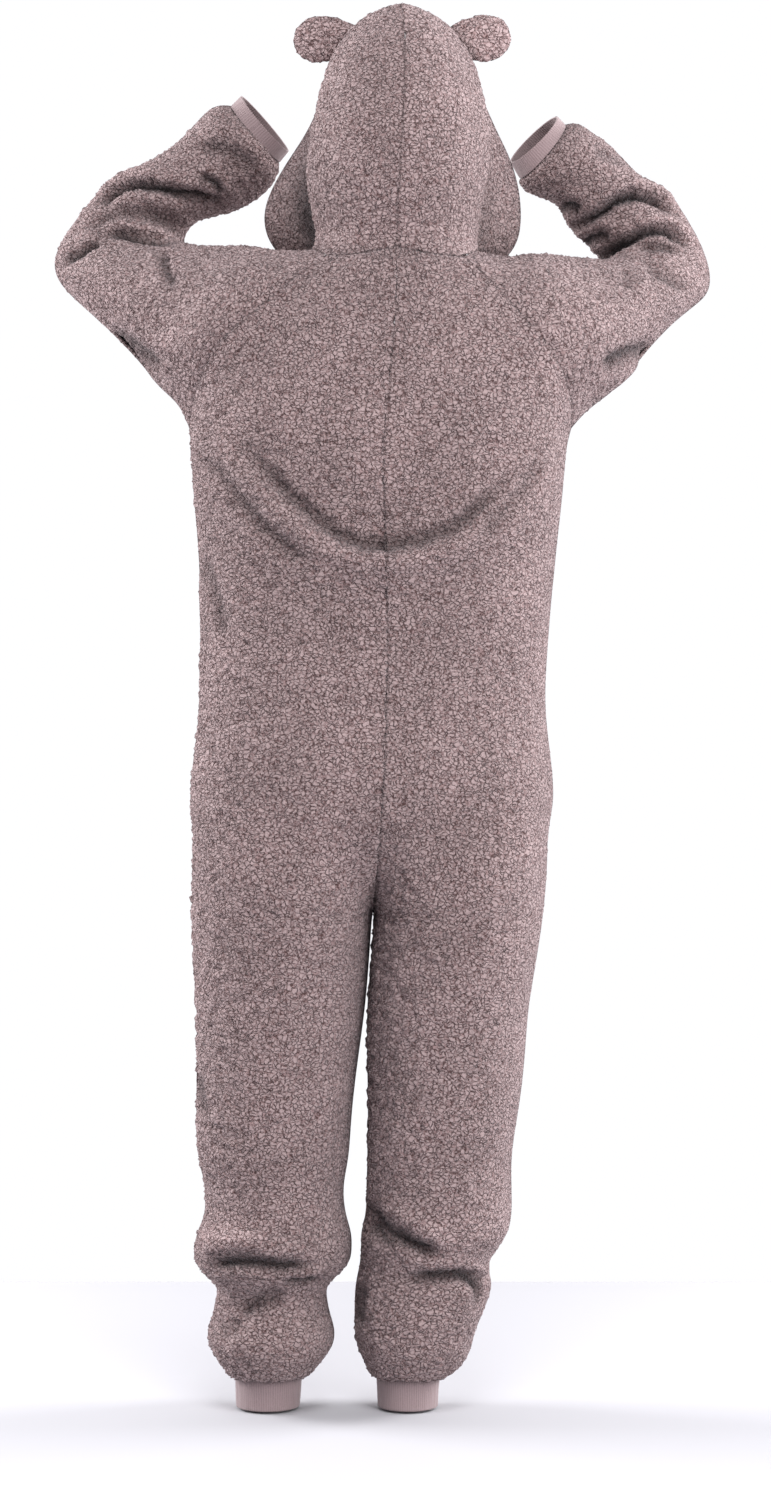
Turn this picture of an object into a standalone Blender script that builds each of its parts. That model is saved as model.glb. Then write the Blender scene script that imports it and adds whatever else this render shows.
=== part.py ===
"""A hooded fleece sleep suit with round ears, held in its hollow worn shape with both arms raised.

Row frame: +Z up, the suit's front faces -Y, and the origin is midway between the shoulders at the base
of the neck. Sizes are in millimetres; MM turns them into metres where a mesh is made. "Left" is the
wearer's left, +X.

The cloth is one smooth body surface: oval sections for the torso and legs, and round sections along
each arm's path, blended where they meet and raised into folds. Every cut piece is a grid of points found
on that surface between its seams, moved inwards by the cloth's thickness to make a wall.
"""

import math

import bpy
import numpy as np
from mathutils import Vector
from mathutils.bvhtree import BVHTree

MM = 0.001

FLEECE = 4.0  # wall of the deep-pile fleece
RIB = 2.5  # wall of the knitted cuffs
SEAM_GAP = 0.3  # space between two pieces that are sewn together
LEFT, RIGHT = 1, -1

BODY_COLUMNS = 8  # quads across one front or back panel
RAGLAN_ROWS = 6  # rows of quads from the neck to the armpit
NECK_COLUMNS = 3  # quads along a sleeve's edge at the neck
SLEEVE_COLUMNS = 2 * RAGLAN_ROWS + NECK_COLUMNS
HOOD_ROWS = 14
FAN_SAMPLES = 31  # rays in the fan that finds one row of a panel
RAY_STEP = 4.0  # distance between samples along a ray
EDGE = SEAM_GAP / 2 + 0.05  # how far each piece stops short of its seam


def table(columns, *rows):
    """Rows of numbers as named columns."""
    return dict(zip(columns.split(), np.array(rows, float).T))


# Torso: oval sections. centre and half_width lie along X; back and front are depths from the plane y = 0.
TORSO = table(
    "z centre half_width back front",
    (70, -9, 76, 72, 66),
    (11, -8, 90, 84, 80),
    (-35, -3, 118, 100, 100),
    (-85, 3, 160, 113, 113),
    (-140, 10, 205, 122, 120),
    (-200, 13, 222, 128, 124),
    (-270, 14, 218, 127, 124),
    (-345, 15, 211, 120, 122),
    (-430, 18, 206, 114, 120),
    (-520, 21, 204, 120, 120),
    (-600, 21, 212, 131, 117),
    (-680, 24, 214, 131, 112),
)
SEAT_TOP, SEAT_END = -610.0, -742.0  # the torso sections close to a point between these heights

# Legs: oval sections from the inner to the outer side, along X.
LEGS = {
    LEFT: table(
        "z inner outer back front",
        (-590, 50, 205, 80, 70),
        (-640, 30, 225, 108, 95),
        (-700, 22.7, 233, 120, 107),
        (-760, 21.2, 234, 119, 110),
        (-824, 24.7, 232, 112, 107),
        (-883, 29.8, 228, 106, 103),
        (-942, 38, 228, 101, 99),
        (-1001, 45, 229, 97, 95),
        (-1060, 49, 226, 93, 91),
        (-1095, 56, 218, 87, 84),
        (-1122, 53, 218, 87, 84),
        (-1150, 45, 229, 97, 92),
        (-1178, 46, 232, 99, 94),
        (-1194, 60, 218, 84, 80),
        (-1207, 76, 203, 67, 64),
        (-1237, 72, 207, 72, 68),
        (-1266, 64, 217, 81, 76),
        (-1290, 74, 207, 74, 70),
        (-1303, 92, 191, 56, 53),
        (-1309, 102, 184, 44, 43),
    ),
    RIGHT: table(
        "z inner outer back front",
        (-590, 0, -158, 80, 70),
        (-640, 15, -183, 108, 95),
        (-700, 20.3, -186, 120, 107),
        (-760, 18.8, -182, 119, 110),
        (-824, 22.3, -173, 112, 107),
        (-883, 27.4, -163, 106, 103),
        (-942, 27, -159, 101, 99),
        (-1001, 26, -152, 97, 95),
        (-1060, 27, -143, 93, 91),
        (-1119, 28, -144, 90, 87),
        (-1148, 34, -139, 93, 88),
        (-1170, 34, -122, 82, 78),
        (-1184, 36, -114, 74, 70),
        (-1210, 41, -119, 78, 74),
        (-1237, 42, -111, 77, 73),
        (-1266, 42, -99, 74, 70),
        (-1290, 34, -94, 66, 62),
        (-1303, 24, -76, 52, 49),
        (-1309, 17, -62, 43, 42),
    ),
}
LEG_TOP = -590.0

# Arms, at the shoulder: the path of the sleeve's middle from the neck outwards.
SHOULDERS = {
    LEFT: table(
        "x y z radius",
        (45, 12, -64, 62),
        (100, 6, -72, 80),
        (165, -17, -81, 103),
        (208, -46, -66, 103),
        (245, -79, -43, 92),
        (290, -122, -12, 80),
    ),
    RIGHT: table(
        "x y z radius",
        (-55, 12, -70, 62),
        (-108, 6, -80, 80),
        (-165, -17, -86, 98),
        (-208, -46, -71, 99),
        (-248, -78, -47, 86),
        (-290, -122, -20, 72),
    ),
}

# Sleeves, beyond the shoulder: oval sections. Each lies between a point on the arm's outer side and one on
# its inner side, at the plane y, and reaches depth either way from it.
SLEEVES = {
    LEFT: table(
        "outer_x outer_z inner_x inner_z y depth",
        (294, -116, 185, 31, -76, 104),
        (347, -60, 222, 36, -118, 96),
        (391, -19, 243, 43, -152, 88),
        (415, 11, 251, 49, -180, 80),
        (417, 38, 253, 54, -192, 72),
        (402, 64, 251, 59, -194, 67),
        (375, 98, 248, 70, -190, 63),
        (340, 129, 235, 80, -183, 60),
        (301, 149, 207, 84, -175, 58),
        (265, 168, 178, 92, -167, 56),
        (237, 196, 153, 106, -159, 55),
        (218, 216, 136, 126, -153, 53),
        (204, 219, 133, 139, -151, 46),
        (195, 214, 135, 144, -150, 37),
    ),
    RIGHT: table(
        "outer_x outer_z inner_x inner_z y depth",
        (-301, -105, -195, 19, -76, 100),
        (-341, -60, -229, 21, -118, 92),
        (-375, -30, -248, 24, -152, 84),
        (-396, -9, -256, 28, -180, 77),
        (-398, 17, -257, 34, -192, 70),
        (-388, 47, -253, 40, -194, 66),
        (-371, 78, -246, 48, -190, 62),
        (-344, 113, -230, 58, -183, 60),
        (-309, 130, -214, 76, -175, 57),
        (-281, 161, -210, 94, -167, 54),
        (-258, 174, -185, 103, -159, 54),
        (-233, 196, -160, 110, -153, 52),
        (-221, 195, -156, 120, -151, 45),
        (-215, 191, -160, 124, -150, 37),
    ),
}
WRIST_CUFFS = {
    LEFT: table(
        "outer_x outer_z inner_x inner_z y depth",
        (195, 214, 135, 144, -150, 37),
        (182, 226, 124, 157, -146, 34),
    ),
    RIGHT: table(
        "outer_x outer_z inner_x inner_z y depth",
        (-215, 191, -160, 124, -150, 37),
        (-205, 201, -148, 143, -146, 34),
    ),
}

# Hood: rows from the neck to the crown, each from the centre seam round to the front edge through five points.
HOOD_POINTS = ("seam", "back", "side", "groove", "edge")
HOOD_NAMES = " ".join(f"{name}_{axis}" for name in HOOD_POINTS for axis in "xyz")
HOOD = {
    LEFT: table(
        HOOD_NAMES,
        (-9, 86, 24, 50, 68, 24, 85, 8, 34, 80, -50, 14, 66, -119, -24),
        (-10, 102, 68, 58, 79, 68, 96, 12, 68, 83, -46, 46, 142, -116, 32),
        (-13, 110, 110, 60, 84, 112, 99, 12, 112, 89, -45, 96, 155, -114, 78),
        (-15, 110, 147, 57, 84, 150, 93, 10, 152, 87, -45, 143, 129, -107, 130),
        (-17, 103, 181, 50, 78, 190, 84, 6, 192, 80, -45, 190, 93, -100, 184),
        (-17, 95, 209, 40, 68, 230, 70, 0, 238, 71, -45, 239, 75, -92, 237),
        (-17, 89, 228, 24, 58, 259, 51, -5, 271, 52, -45, 273, 52, -86, 269),
        (-17, 85, 239, 4, 54, 278, 24, -4, 295, 25, -44, 295, 24, -82, 286),
        (-17, 82, 244, -15, 49, 287, -14, 0, 305, -13, -42, 304, -12, -80, 292),
    ),
    RIGHT: table(
        HOOD_NAMES,
        (-9, 86, 24, -66, 68, 24, -102, 8, 32, -98, -50, 12, -80, -119, -24),
        (-10, 102, 68, -74, 79, 68, -111, 12, 68, -99, -46, 46, -151, -116, 30),
        (-13, 110, 110, -78, 84, 112, -117, 12, 112, -104, -45, 96, -160, -114, 78),
        (-15, 110, 147, -78, 84, 150, -119, 10, 152, -110, -45, 143, -150, -107, 132),
        (-17, 103, 181, -74, 78, 190, -111, 6, 192, -108, -45, 190, -124, -100, 184),
        (-17, 95, 209, -65, 68, 230, -98, 0, 238, -99, -45, 239, -102, -92, 235),
        (-17, 89, 228, -54, 58, 259, -78, -5, 271, -79, -45, 273, -78, -86, 267),
        (-17, 85, 239, -35, 54, 278, -53, -4, 294, -53, -44, 294, -50, -82, 285),
        (-17, 82, 244, -15, 49, 287, -14, 0, 305, -13, -42, 304, -12, -80, 292),
    ),
}


def monotone(keys, values, where):
    """A smooth curve through a table's values that never passes beyond them."""
    if keys[0] > keys[-1]:
        keys, values = keys[::-1], values[::-1]
    step = np.diff(keys)
    rise = np.diff(values) / step
    slope = np.concatenate([rise[:1], np.zeros(len(rise) - 1), rise[-1:]])
    same = rise[:-1] * rise[1:] > 0
    slope[1:-1][same] = 2 * (rise[:-1] * rise[1:])[same] / (rise[:-1] + rise[1:])[same]
    where = np.clip(where, keys[0], keys[-1])
    i = np.clip(np.searchsorted(keys, where) - 1, 0, len(step) - 1)
    t = (where - keys[i]) / step[i]
    return (
        values[i] * (1 + 2 * t) * (1 - t) ** 2
        + values[i + 1] * t * t * (3 - 2 * t)
        + step[i] * (slope[i] * t * (1 - t) ** 2 - slope[i + 1] * t * t * (1 - t))
    )


def at(sections, column, z):
    return monotone(sections["z"], sections[column], z)


def smooth_min(a, b, blend):
    h = np.clip(0.5 + 0.5 * (b - a) / blend, 0, 1)
    return b * (1 - h) + a * h - blend * h * (1 - h)


def bump(x):
    """1 in the middle, falling smoothly to 0 at -1 and 1."""
    return np.clip(1 - x * x, 0, None) ** 2


def spline(points, count):
    """count points evenly along a smooth curve through the given points."""
    points = np.array(points, float)
    padded = np.vstack([2 * points[0] - points[1], points, 2 * points[-1] - points[-2]])
    t = np.linspace(0, 1, 12, endpoint=False)[:, None]
    fine = []
    for a, b, c, d in zip(padded, padded[1:], padded[2:], padded[3:]):
        fine.append(
            0.5 * (2 * b + (c - a) * t + (2 * a - 5 * b + 4 * c - d) * t**2 + (3 * b - a - 3 * c + d) * t**3)
        )
    fine = np.vstack(fine + [points[-1:]])
    return spaced(fine, np.linspace(0, 1, count))


def spaced(line, shares):
    """Points at the given shares of a polyline's length."""
    steps = np.linalg.norm(np.diff(line, axis=0), axis=1)
    along = np.concatenate([[0], np.cumsum(steps)])
    where = np.array(shares) * along[-1]
    return np.stack([np.interp(where, along, line[:, k]) for k in range(line.shape[1])], axis=1)


# ---------------------------------------------------------------- the body surface

ARM_LINE_POINTS = 20
ARM_REACH = -340.0  # no sleeve shapes the cloth below this height
SQUARENESS = 2.25  # exponent of the oval sections: 2 is an ellipse


def columns(rows, names):
    """The named columns of a table, side by side."""
    return np.stack([rows[name] for name in names.split()], axis=1)


ARM_LINES = {side: spline(columns(SHOULDERS[side], "x y z radius"), ARM_LINE_POINTS) for side in SHOULDERS}


def oval_distance(p, centre, half_width, back, front):
    dx, dy = p[:, 0] - centre, p[:, 1]
    depth = np.where(dy > 0, back, front)
    size = ((np.abs(dx) / half_width) ** SQUARENESS + (np.abs(dy) / depth) ** SQUARENESS) ** (1 / SQUARENESS)
    radius = np.hypot(dx, dy)
    return radius - radius / np.maximum(size, 1e-6)


def torso_distance(p):
    z = p[:, 2]
    closing = np.sqrt(np.clip(1 - (np.clip(SEAT_TOP - z, 0, None) / (SEAT_TOP - SEAT_END)) ** 2, 1e-6, 1))
    half_width, back, front = (at(TORSO, column, z) * closing for column in ("half_width", "back", "front"))
    wall = oval_distance(p, at(TORSO, "centre", z), half_width, back, front)
    below = np.clip(SEAT_END - z, 0, None)
    return np.where(below > 0, np.hypot(p[:, 0] - 21, p[:, 1]) + below, wall)


def leg_distance(p, leg):
    z = p[:, 2]
    inner, outer = at(leg, "inner", z), at(leg, "outer", z)
    back, front = at(leg, "back", z), at(leg, "front", z)
    wall = oval_distance(p, (inner + outer) / 2, np.abs(outer - inner) / 2, back, front)
    return wall + np.clip(z - LEG_TOP, 0, None)


def along_path(p, line):
    """Distance from each point to each stretch of a polyline, and how far along that stretch it is nearest."""
    start, step = line[:-1], np.diff(line, axis=0)
    t = (p @ step.T - (start * step).sum(1)) / (step * step).sum(1)
    t = np.clip(t, 0, 1)
    away = sum((p[:, k, None] - start[:, k] - t * step[:, k]) ** 2 for k in range(p.shape[1]))
    return np.sqrt(away), t


def arm_distance(p, side):
    """Distance from the sleeve's wall, with how far along the sleeve's path the nearest point is (0 to 1)."""
    line = ARM_LINES[side]
    away, t = along_path(p, line[:, :3])
    away = away - line[:-1, 3] - t * np.diff(line[:, 3])
    best = away.argmin(1)
    each = np.arange(len(p))
    return away[each, best], (best + t[each, best]) / (len(line) - 1)


# Folds: a ridge, or a trough where height is below 0, along a smooth line through three points in X and Z.
BACK_FOLDS = table(
    "x0 z0 x1 z1 x2 z2 height half_width",
    (204, -222, 109, -330, 6, -366, 8, 42),
    (-178, -234, -97, -326, 6, -366, 7, 42),
    (201, -180, 122, -270, 6, -322, -5, 44),
    (-169, -200, -112, -270, 6, -322, -4, 44),
    (222, -322, 214, -390, 194, -440, -5, 34),
)
SLEEVE_FOLDS = {
    LEFT: table(
        "x0 z0 x1 z1 x2 z2 height half_width",
        (368, 86, 300, 113, 226, 98, -8, 15),
        (388, 53, 318, 84, 254, 64, -7, 15),
        (349, 62, 308, 54, 257, 47, -5, 14),
        (401, 10, 372, 27, 345, 46, -6, 16),
        (222, 148, 183, 120, 166, 96, -5, 24),
        (262, 30, 250, -16, 230, -52, 6, 20),
        (290, 22, 276, -18, 258, -58, -6, 20),
        (342, -62, 300, -100, 250, -144, -4, 18),
    ),
    RIGHT: table(
        "x0 z0 x1 z1 x2 z2 height half_width",
        (-214, 66, -292, 104, -354, 80, -8, 15),
        (-254, 28, -322, 66, -376, 50, -8, 15),
        (-312, 36, -352, 44, -384, 12, -6, 15),
        (-206, 84, -236, 68, -262, 52, -5, 14),
        (-290, 30, -302, -20, -250, -84, 6, 20),
        (-262, 24, -270, -24, -226, -78, -5, 20),
        (-318, -88, -270, -128, -222, -166, -5, 18),
    ),
}


def fold_line(fold, samples=9):
    """A fold's middle as a smooth polyline in X and Z."""
    t = np.linspace(0, 1, samples)[:, None]
    a, b, c = (np.array([fold[x], fold[z]]) for x, z in (("x0", "z0"), ("x1", "z1"), ("x2", "z2")))
    return (1 - t) ** 2 * a + 2 * t * (1 - t) * (2 * b - (a + c) / 2) + t * t * c


def lines_of(folds):
    return [(fold_line(fold), fold["height"], fold["half_width"]) for fold in rows_of(folds)]


def raised_by(lines, flat):
    """How far folds raise places given in X and Z."""
    raised = np.zeros(len(flat))
    for line, height, half_width in lines:
        raised += height * bump(along_path(flat, line)[0].min(1) / half_width)
    return raised


def rows_of(rows):
    return [dict(zip(rows, values)) for values in zip(*rows.values())]


BACK_FOLD_LINES = lines_of(BACK_FOLDS)


def back_folds(p):
    raised = np.zeros(len(p))
    near = (p[:, 1] > 0) & (p[:, 2] < -120) & (p[:, 2] > -500)
    raised[near] = raised_by(BACK_FOLD_LINES, p[near][:, [0, 2]])
    return raised * np.clip(p[:, 1] / 40, 0, 1)


def body_distance(p, leg=None):
    """0 on the garment's outer surface, negative inside the hollow. With a leg, the other leg is left out."""
    z = p[:, 2]
    if leg is None:
        fork = np.clip((z + 770) / 40, 0, 1)  # the legs run apart below the fork
        legs = smooth_min(leg_distance(p, LEGS[LEFT]), leg_distance(p, LEGS[RIGHT]), 2 + 22 * fork)
    else:
        legs = leg_distance(p, LEGS[leg])
    trunk = smooth_min(torso_distance(p), legs, 34)
    for side in (LEFT, RIGHT):
        near = (z > ARM_REACH) & (side * p[:, 0] > -60)
        trunk[near] = smooth_min(trunk[near], arm_distance(p[near], side)[0], 46)
    return trunk - back_folds(p)


def cast(origins, directions, reach=330.0, leg=None):
    """Where rays from inside the hollow first leave the body surface."""
    directions = directions / np.linalg.norm(directions, axis=1)[:, None]
    t = np.arange(0.06 * reach, reach, RAY_STEP)
    samples = origins[:, None] + t[None, :, None] * directions[:, None]
    outside = body_distance(samples.reshape(-1, 3), leg).reshape(len(origins), -1) > 0
    first = np.where(outside.any(1), outside.argmax(1), len(t) - 1)
    low, high = t[np.maximum(first - 1, 0)], t[first]
    for _ in range(11):
        middle = (low + high) / 2
        out = body_distance(origins + middle[:, None] * directions, leg) > 0
        low, high = np.where(out, low, middle), np.where(out, middle, high)
    return origins + ((low + high) / 2)[:, None] * directions


def outward(p, leg=None, step=1.5):
    """The surface's normal at points on it."""
    sides = [(p + step * axis, p - step * axis) for axis in np.eye(3)]
    slope = np.stack([body_distance(a, leg) - body_distance(b, leg) for a, b in sides], axis=1)
    return slope / np.linalg.norm(slope, axis=1)[:, None]


def unit(v):
    return v / np.linalg.norm(v)


def fans(rows, facing, count, reach, leg=None):
    """Rows of a panel, each of count + 1 points on the surface from a to b, evenly spaced.

    rows holds (origin, a, b). A row is where a fan of rays from its origin meets the surface, turning from
    a past straight back, or straight forward, to b."""
    t = np.linspace(0, 1, FAN_SAMPLES)[1:-1, None]
    middle = point(0, facing, 0)
    rays = [
        (1 - t) ** 2 * unit(a - o) + 1.5 * t * (1 - t) * middle + t**2 * unit(b - o) for o, a, b in rows
    ]
    origins = np.repeat([row[0] for row in rows], len(t), axis=0)
    found = cast(origins, np.vstack(rays), reach, leg).reshape(len(rows), len(t), 3)
    return [stop_short(np.vstack([a, between, b]), count) for (_, a, b), between in zip(rows, found)]


def ends_moved(row):
    """A row of points with both ends moved in to stop short of their seams."""
    row = row.copy()
    row[0] += EDGE * unit(row[1] - row[0])
    row[-1] += EDGE * unit(row[-2] - row[-1])
    return row


def stop_short(line, count):
    """count + 1 even points along a polyline, stopping short of its ends by the seam's edge."""
    inset = EDGE / np.linalg.norm(np.diff(line, axis=0), axis=1).sum()
    return spaced(line, np.linspace(inset, 1 - inset, count + 1))


def point(x, y, z):
    return np.array([x, y, z], float)


def cast_one(origin, direction, leg=None):
    return cast(origin[None], direction[None], leg=leg)[0]


# ---------------------------------------------------------------- seams

# The centre seams' place along X; they follow the wearer's lean.
CENTRE_SEAM = table(
    "z x",
    (70, -9),
    (-3, -8),
    (-62, -7),
    (-120, -2),
    (-184, 4),
    (-240, 8),
    (-342, 5),
    (-446, 3),
    (-530, 4),
    (-610, 7),
)
FORK_TOP = -610.0  # where the centre seams begin to turn under the seat
FORK_X = 20.0
ARMPIT_Z = -194.0

# The neck seam: rays from NECK_MIDDLE, turned from straight back by so many degrees and rising by so many.
NECK = table("turn rise", (0, 37), (50, 29), (72, 35), (92, 38), (112, 31), (129, 22), (155, 8), (180, -1))
NECK_MIDDLE = (-7.0, 0.0, -60.0)
RAGLAN_TURN_BACK, RAGLAN_TURN_FRONT = 51.0, 129.0

# Raglan seams: rays from (x, z) inside, turned from straight back (or straight forward) towards the side.
RAGLAN_BACK = {
    LEFT: table(
        "x z turn",
        (116, -32, 0), (150, -66, 0), (176, -86, 4), (188, -118, 16),
        (182, -158, 44), (150, -196, 90),
    ),
    RIGHT: table(
        "x z turn",
        (-122, -36, 0), (-140, -62, 0), (-158, -84, 4), (-168, -116, 16),
        (-164, -156, 44), (-130, -196, 90),
    ),
}
RAGLAN_FRONT = {
    LEFT: table(
        "x z turn",
        (92, -50, 0), (116, -74, 0), (138, -98, 4), (156, -124, 18),
        (160, -160, 46), (150, -196, 90),
    ),
    RIGHT: table(
        "x z turn",
        (-100, -50, 0), (-120, -74, 0), (-138, -98, 4), (-150, -124, 18),
        (-150, -160, 46), (-130, -196, 90),
    ),
}


def neck_point(side, turn):
    rise = math.radians(float(monotone(NECK["turn"], NECK["rise"], np.array([turn]))[0]))
    a = math.radians(turn)
    return cast_one(point(*NECK_MIDDLE), point(side * math.sin(a), math.cos(a), math.tan(rise)))


def neck_line(side, turn_a, turn_b, count):
    line = np.array([neck_point(side, turn) for turn in np.linspace(turn_a, turn_b, 2 * count + 1)])
    return spaced(line, np.linspace(0, 1, count + 1))


def raglan_seam(side, facing):
    """The seam from the neck to the armpit, as points on the surface."""
    rows = (RAGLAN_BACK if facing > 0 else RAGLAN_FRONT)[side]
    top = neck_point(side, RAGLAN_TURN_BACK if facing > 0 else RAGLAN_TURN_FRONT)
    turn = np.radians(rows["turn"])
    origins = np.stack([rows["x"], np.full(len(turn), -4.0), rows["z"]], axis=1)
    rays = np.stack([side * np.sin(turn), facing * np.cos(turn), np.zeros(len(turn))], axis=1)
    return spline(np.vstack([top, cast(origins, rays)]), RAGLAN_ROWS + 1)


def centre_seam(z, facing, aside=0.0):
    x = float(monotone(CENTRE_SEAM["z"], CENTRE_SEAM["x"], np.array([z]))[0]) + aside
    return cast_one(point(x, 0, z), point(0, facing, 0))


def fork_seam(degrees, facing):
    """The centre seam's run under the seat, from the level FORK_TOP (0 degrees) to the fork (90)."""
    a = math.radians(degrees)
    x = 7 + (FORK_X - 7) * degrees / 90
    return cast_one(point(x, -4, FORK_TOP), point(0, facing * math.cos(a), -math.sin(a)))


def leg_middle(side, z):
    inner, outer = (float(at(LEGS[side], c, np.array([z]))[0]) for c in ("inner", "outer"))
    return point((inner + outer) / 2, -4, z)


def half_middle(side, z):
    """A place inside one half of the torso or inside one leg, from which its panels' rows are seen."""
    centre, half_width = (float(at(TORSO, c, np.array([z]))[0]) for c in ("centre", "half_width"))
    share = np.clip((FORK_TOP - z) / 120, 0, 1)
    return point(centre + side * 0.46 * half_width, -4, z) * (1 - share) + leg_middle(side, z) * share


def outer_seam(side, z):
    return cast_one(half_middle(side, z), point(side, 0, 0))


def inner_seam(side, z):
    return cast_one(leg_middle(side, z), point(-side, 0, 0), side)


# ---------------------------------------------------------------- front and back panels

TORSO_LEVELS = (
    -215, -235, -255, -274, -293, -311, -328, -344, -360, -377, -397, -421, -449, -480, -513, -546, -578, -610,
)
FORK_ROWS = table("degrees z", (22, -636), (44, -660), (62, -684), (77, -708), (90, -740))
LEG_LEVELS = (
    -775, -810, -846, -883, -920, -958, -996, -1030, -1060, -1088, -1110, -1128, -1146, -1162, -1177, -1189,
    -1199, -1211, -1226, -1242, -1258, -1274, -1288, -1299, -1308,
)
ZIP_HALF_GAP = 4.0  # between a front panel's edge and the middle of the zip
ZIP_END = -596.0


def body_panel(side, facing):
    """Rows of one front or back panel, from the neck to the ankle, each from the centre seam outwards."""

    def opening(z):
        return side * ZIP_HALF_GAP * float(np.clip((z - ZIP_END) / 30, 0, 1)) if facing < 0 else 0.0

    raglan = raglan_seam(side, facing)
    if facing > 0:
        neck = neck_line(side, 0, RAGLAN_TURN_BACK, BODY_COLUMNS)
    else:
        neck = neck_line(side, 180, RAGLAN_TURN_FRONT, BODY_COLUMNS)
    neck_z = neck[0][2]
    neck[0] += opening(neck_z) * point(1, 0, 0)
    torso = []
    for i, end in enumerate(raglan[1:], 1):
        z = neck_z + (ARMPIT_Z - neck_z) * i / RAGLAN_ROWS
        origin = point(0.42 * end[0], -4, (z + end[2]) / 2 - 4)
        torso.append((origin, centre_seam(z, facing, opening(z)), end))
    for z in TORSO_LEVELS:
        torso.append((half_middle(side, z), centre_seam(z, facing, opening(z)), outer_seam(side, z)))
    fork = [
        (half_middle(side, z - 3), fork_seam(degrees, facing), outer_seam(side, z))
        for degrees, z in zip(*FORK_ROWS.values())
    ]
    legs = [(leg_middle(side, z), inner_seam(side, z), outer_seam(side, z)) for z in LEG_LEVELS]
    rows = [ends_moved(neck)]
    rows += fans(torso + fork[:3], facing, BODY_COLUMNS, 300.0)
    rows += fans(fork[3:] + legs, facing, BODY_COLUMNS, 180.0, side)
    return np.array(rows)


# ---------------------------------------------------------------- sleeves

SHOULDER_ROWS = 6  # rows of quads between the raglan seam and the first section of the sleeve
SLEEVE_ROWS = 30  # rows of quads along the sections
WRIST_LEAN = {LEFT: 7.0, RIGHT: 10.0}


def ovals(sections, count, around, lean, closed=False):
    """Rings of points round a sleeve or cuff, from the arm's outer side by way of its back.

    The rings' backs lean by so much towards the elbow, and their fronts towards the hand."""
    line = spline(columns(sections, "outer_x outer_z inner_x inner_z y depth"), count)
    angle = np.linspace(0, 2 * math.pi, around + 1)[: around if closed else None, None]
    outer = np.stack([line[:, 0], line[:, 4], line[:, 1]], axis=1)
    inner = np.stack([line[:, 2], line[:, 4], line[:, 3]], axis=1)
    middle, half = (outer + inner) / 2, (outer - inner) / 2
    along = half[:, ::-1] * point(1, 0, -1)
    along *= np.sign((along * (middle[-1] - middle[0])).sum()) / np.linalg.norm(along, axis=1)[:, None]
    deep = line[:, 5:] * point(0, 1, 0) - np.broadcast_to(lean, len(line))[:, None] * along
    return middle[:, None] + np.cos(angle) * half[:, None] + np.sin(angle) * deep[:, None]


def armhole(side):
    """The sleeve's edge at the body: up the back seam, along the neck, and down the front seam."""
    back, front = raglan_seam(side, 1), raglan_seam(side, -1)
    neck = neck_line(side, RAGLAN_TURN_BACK, RAGLAN_TURN_FRONT, NECK_COLUMNS)
    return np.vstack([back[::-1], neck[1:-1], front])


def sleeve_grid(side):
    hole = armhole(side)
    lean = WRIST_LEAN[side] * np.clip(np.linspace(-3, 1, SLEEVE_ROWS + 1), 0, 1)
    rings = ovals(SLEEVES[side], SLEEVE_ROWS + 1, SLEEVE_COLUMNS, lean)
    line = ARM_LINES[side][:, :3]
    fine = spaced(line, np.linspace(0, 1, 200))
    near_hole = np.linalg.norm(hole[:, None] - fine[None], axis=2).argmin(1)
    near_ring = np.full(len(hole), np.linalg.norm(rings[0].mean(0) - fine, axis=1).argmin())
    rows = [hole]
    for k in range(1, SHOULDER_ROWS):
        share = k / SHOULDER_ROWS
        origins = fine[np.round(near_hole + (near_ring - near_hole) * share).astype(int)]
        rays = [
            (1 - share) * (a - fine[i]) + share * (b - fine[j])
            for a, b, i, j in zip(hole, rings[0], near_hole, near_ring)
        ]
        on_body = cast(origins, np.array(rays))
        straight = hole + (rings[0] - hole) * share
        weight = share**3
        rows.append(on_body * (1 - weight) + straight * weight)
    grid = np.array(rows + list(rings))
    for _ in range(2):
        grid[1:-1] = grid[1:-1] * 0.6 + (grid[:-2] + grid[2:]) * 0.2
    facing = away_from_rows(grid, grid_normals(grid, round_seam=True))
    raised = raised_by(lines_of(SLEEVE_FOLDS[side]), grid[..., [0, 2]].reshape(-1, 2))
    raised = raised.reshape(grid.shape[:2])
    raised *= np.clip(np.abs(facing[..., 1]) * 1.6 - 0.2, 0, 1) * np.where(facing[..., 1] > 0, 1.0, 0.6)
    grid[1:-1] += (raised[:, :, None] * facing)[1:-1]
    for edge, beside in ((0, 1), (-1, -2)):
        step = grid[beside] - grid[edge]
        grid[edge] += EDGE * step / np.linalg.norm(step, axis=1)[:, None]
    return np.array([ends_moved(row) for row in grid])


# ---------------------------------------------------------------- hood

HOOD_COLUMNS = 2 * BODY_COLUMNS + NECK_COLUMNS


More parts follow.
